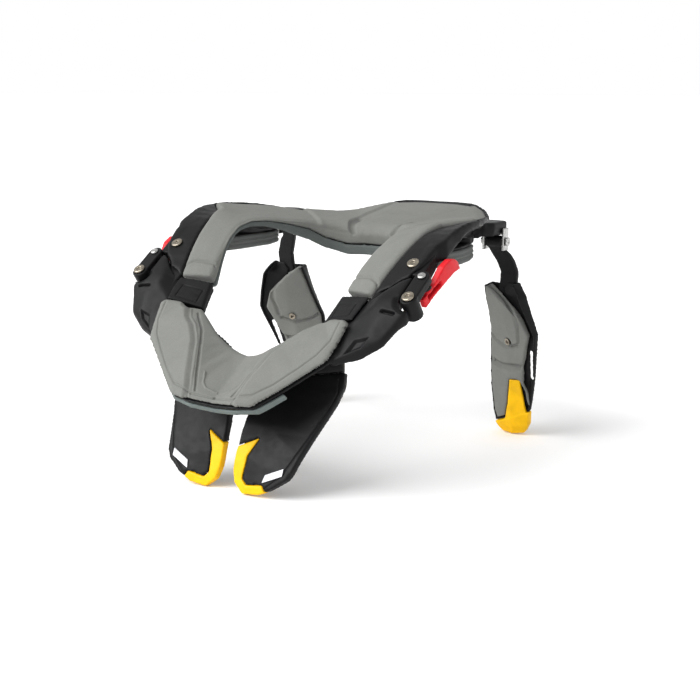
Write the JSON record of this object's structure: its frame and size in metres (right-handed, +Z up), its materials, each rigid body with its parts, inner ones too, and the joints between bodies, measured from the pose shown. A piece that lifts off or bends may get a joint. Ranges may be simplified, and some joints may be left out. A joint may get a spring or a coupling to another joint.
{
  "type": "motocross neck brace",
  "caption": "Padded ring-shaped neck brace with a hinged front half, red side latches, and chest and back wings with yellow tips that it stands on.",
  "frame": {"origin": "centre of the bounding box on the floor, under the neck opening", "axes": "+Z up, +X the wearer's left, -Y the chest side; the brace stands on its four wing tips"},
  "size_m": [0.3106, 0.366, 0.2135],
  "materials": {
    "shell_black": "satin",
    "saddle_black": "matte",
    "strut_black": "textured",
    "foam": "matte moulded foam",
    "foam_dark": "matte moulded foam",
    "lining": "soft matte",
    "rubber": "soft",
    "lever_red": "gloss",
    "steel": "polished",
    "nickel": "polished",
    "cap_yellow": "gloss",
    "stripe_white": "reflective"
  },
  "bodies": {
    "rear_half": {"rear_shell": "shell_black", "rear_pad": "foam", "rear_lining": "lining", "shoulder_pad_left": "foam_dark", "shoulder_pad_right": "foam_dark", "hinge_link_left": "shell_black", "hinge_link_right": "shell_black", "latch_pin_left": "steel", "latch_pin_right": "steel", "lower_screw_left": "nickel", "lower_screw_right": "nickel", "upper_screw_left": "nickel", "upper_screw_right": "nickel", "rear_wing_bracket_left": "steel", "rear_wing_bracket_right": "steel", "pivot_screw_left": "steel", "pivot_screw_right": "steel"},
    "front_half": {"front_shell": "shell_black", "front_pad": "foam", "front_lip_trim": "rubber", "saddle_left": "saddle_black", "saddle_right": "saddle_black", "front_wing_shell_left": "shell_black", "front_wing_shell_right": "shell_black", "front_wing_cap_left": "cap_yellow", "front_wing_cap_right": "cap_yellow", "front_wing_pad_left": "foam_dark", "front_wing_pad_right": "foam_dark", "front_wing_stripe_left": "stripe_white", "front_wing_stripe_right": "stripe_white", "front_wing_bracket_left": "shell_black", "front_wing_bracket_right": "shell_black"},
    "lever_left": {"latch_lever_left": "lever_red"},
    "lever_right": {"latch_lever_right": "lever_red"},
    "rear_wing_left": {"rear_wing_strut_left": "strut_black", "rear_wing_shell_left": "shell_black", "rear_wing_pad_left": "foam", "rear_wing_grommet_left": "nickel", "rear_wing_cap_left": "cap_yellow"},
    "rear_wing_right": {"rear_wing_strut_right": "strut_black", "rear_wing_shell_right": "shell_black", "rear_wing_pad_right": "foam", "rear_wing_grommet_right": "nickel", "rear_wing_cap_right": "cap_yellow"}
  },
  "joints": [
    {"name": "front_hinge", "type": "hinge", "parent": "rear_half", "child": "front_half", "pos_m": [0.13706, -0.10811, 0.1626], "axis": [0, -0.5617, 0.8274], "range_deg": [0, 45]},
    {"name": "latch_left", "type": "hinge", "parent": "rear_half", "child": "lever_left", "pos_m": [0.13706, -0.08784, 0.17636], "axis": [0, -0.5617, 0.8274], "range_deg": [-35, 0]},
    {"name": "latch_right", "type": "hinge", "parent": "rear_half", "child": "lever_right", "pos_m": [-0.13706, -0.08784, 0.17636], "axis": [0, -0.5617, 0.8274], "range_deg": [0, 35]},
    {"name": "rear_wing_left_tilt", "type": "hinge", "parent": "rear_half", "child": "rear_wing_left", "pos_m": [0.11354, 0.08184, 0.1857], "axis": [1, 0, 0], "range_deg": [-15, 15]},
    {"name": "rear_wing_right_tilt", "type": "hinge", "parent": "rear_half", "child": "rear_wing_right", "pos_m": [-0.11354, 0.08184, 0.1857], "axis": [1, 0, 0], "range_deg": [-15, 15]}
  ]
}
